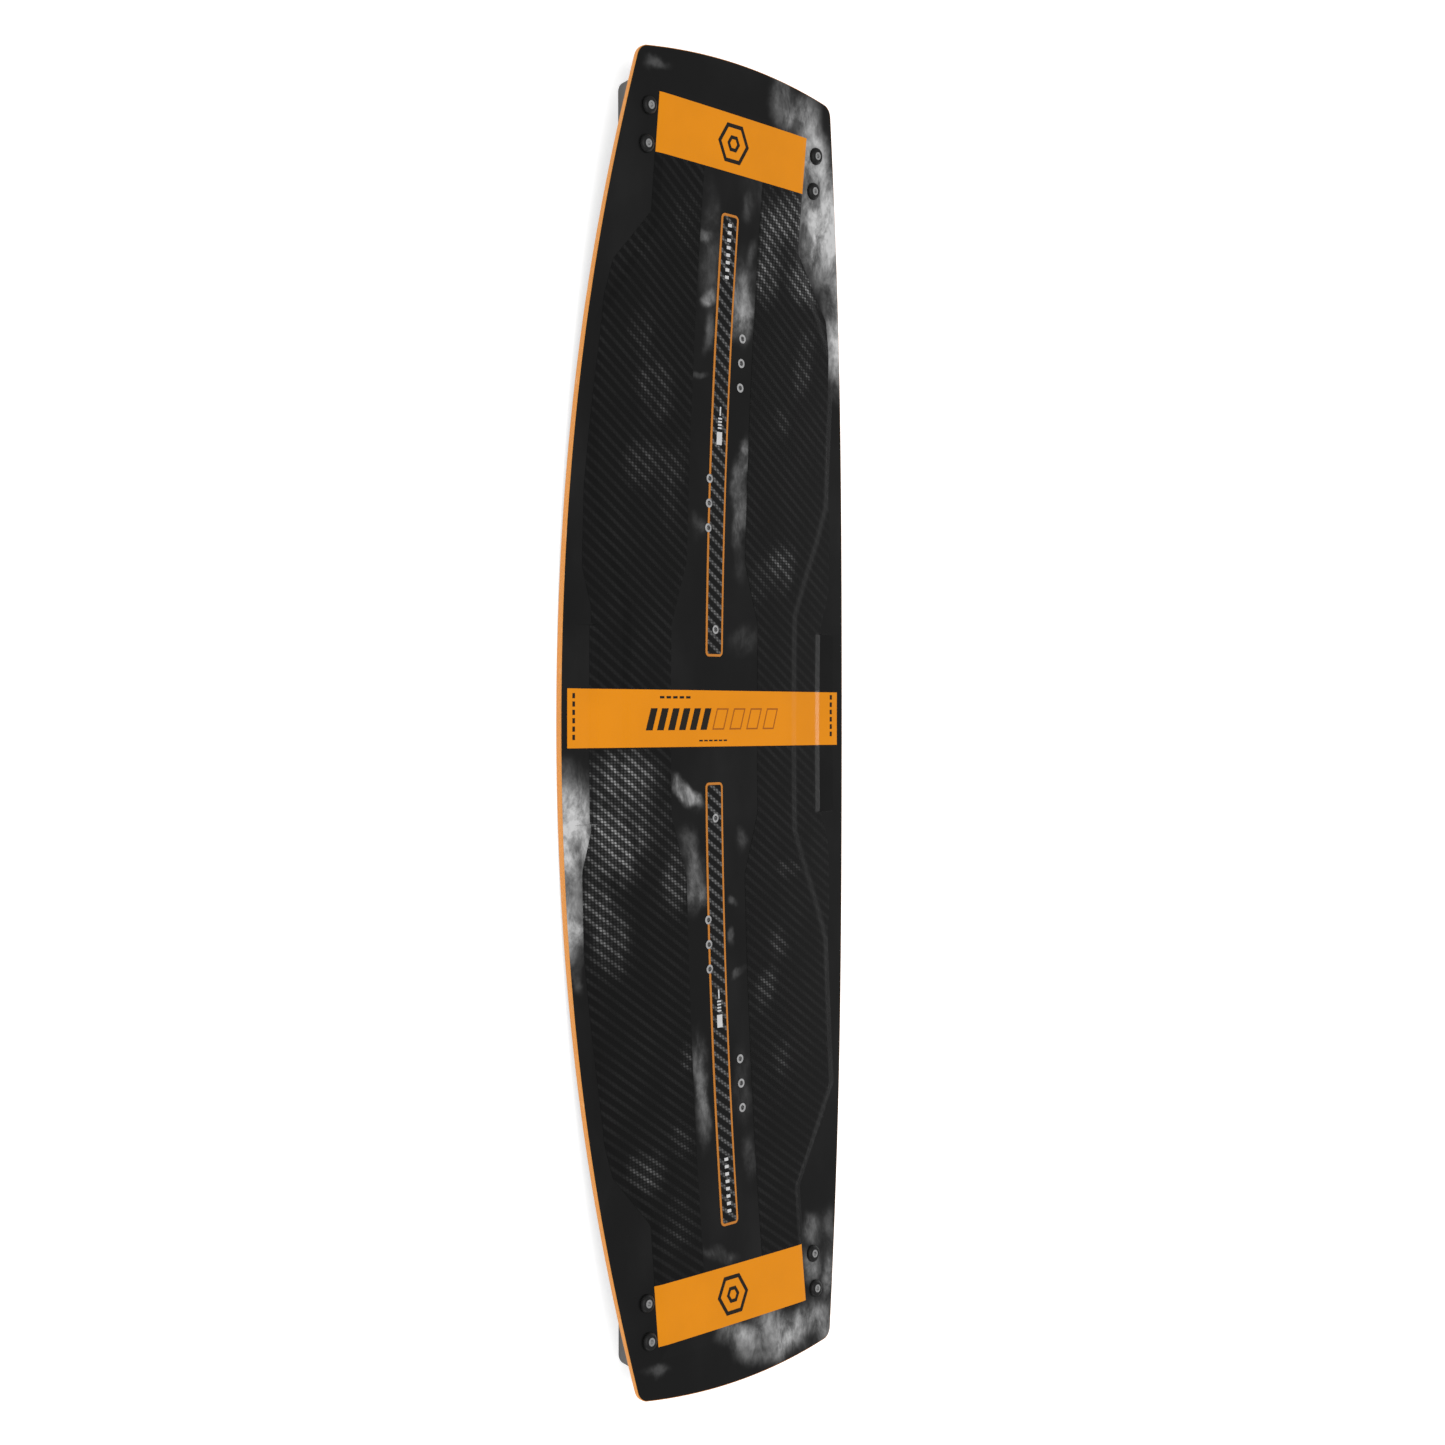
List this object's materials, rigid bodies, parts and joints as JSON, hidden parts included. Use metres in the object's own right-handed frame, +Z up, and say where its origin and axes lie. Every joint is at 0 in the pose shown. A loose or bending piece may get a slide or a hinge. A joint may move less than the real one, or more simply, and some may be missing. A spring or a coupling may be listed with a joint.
{
  "type": "kiteboard",
  "caption": "Twin-tip kiteboard with wood core, rails, carbon stringers, threaded binding and handle inserts, and bolt-on fins.",
  "frame": {"origin": "on the floor that the fin tips stand on, under the middle of the board", "axes": "+Y along the board towards its front tip, +X across it to the right, +Z up out of the deck"},
  "size_m": [0.405, 1.33, 0.0508],
  "materials": {
    "topsheet": "satin black film with smoky grey print",
    "laminate": "fibre and resin laminate",
    "wood_core": "sanded laminated wood strips",
    "base_sheet": "smooth black running base",
    "rail": "satin moulded ABS",
    "carbon": "coarse carbon twill under clear film",
    "print_orange": "satin orange print",
    "insert_steel": "turned stainless steel",
    "fin": "dark grey glass-filled fin plate",
    "nut_brass": "turned brass",
    "screw_steel": "stainless steel",
    "washer": "moulded black nylon",
    "sleeve": "moulded nylon tube"
  },
  "bodies": {
    "root": {"topsheet": "topsheet", "top_laminate": "laminate", "wood_core": "wood_core", "bottom_laminate": "laminate", "base_sheet": "base_sheet", "rail_left": "rail", "rail_right": "rail", "rail_front": "rail", "rail_rear": "rail", "stringer_inlay_front": "carbon", "stringer_border_front": "print_orange", "stringer_inlay_rear": "carbon", "stringer_border_rear": "print_orange", "binding_inserts_front_inner": "insert_steel", "binding_inserts_front_outer": "insert_steel", "binding_inserts_rear_inner": "insert_steel", "binding_inserts_rear_outer": "insert_steel", "handle_inserts": "insert_steel", "fin_front_left": "fin", "fin_nuts_front_left": "nut_brass", "fin_screws_front_left": "screw_steel", "fin_washers_front_left": "washer", "fin_sleeves_front_left": "sleeve", "fin_front_right": "fin", "fin_nuts_front_right": "nut_brass", "fin_screws_front_right": "screw_steel", "fin_washers_front_right": "washer", "fin_sleeves_front_right": "sleeve", "fin_rear_left": "fin", "fin_nuts_rear_left": "nut_brass", "fin_screws_rear_left": "screw_steel", "fin_washers_rear_left": "washer", "fin_sleeves_rear_left": "sleeve", "fin_rear_right": "fin", "fin_nuts_rear_right": "nut_brass", "fin_screws_rear_right": "screw_steel", "fin_washers_rear_right": "washer", "fin_sleeves_rear_right": "sleeve"}
  },
  "joints": []
}
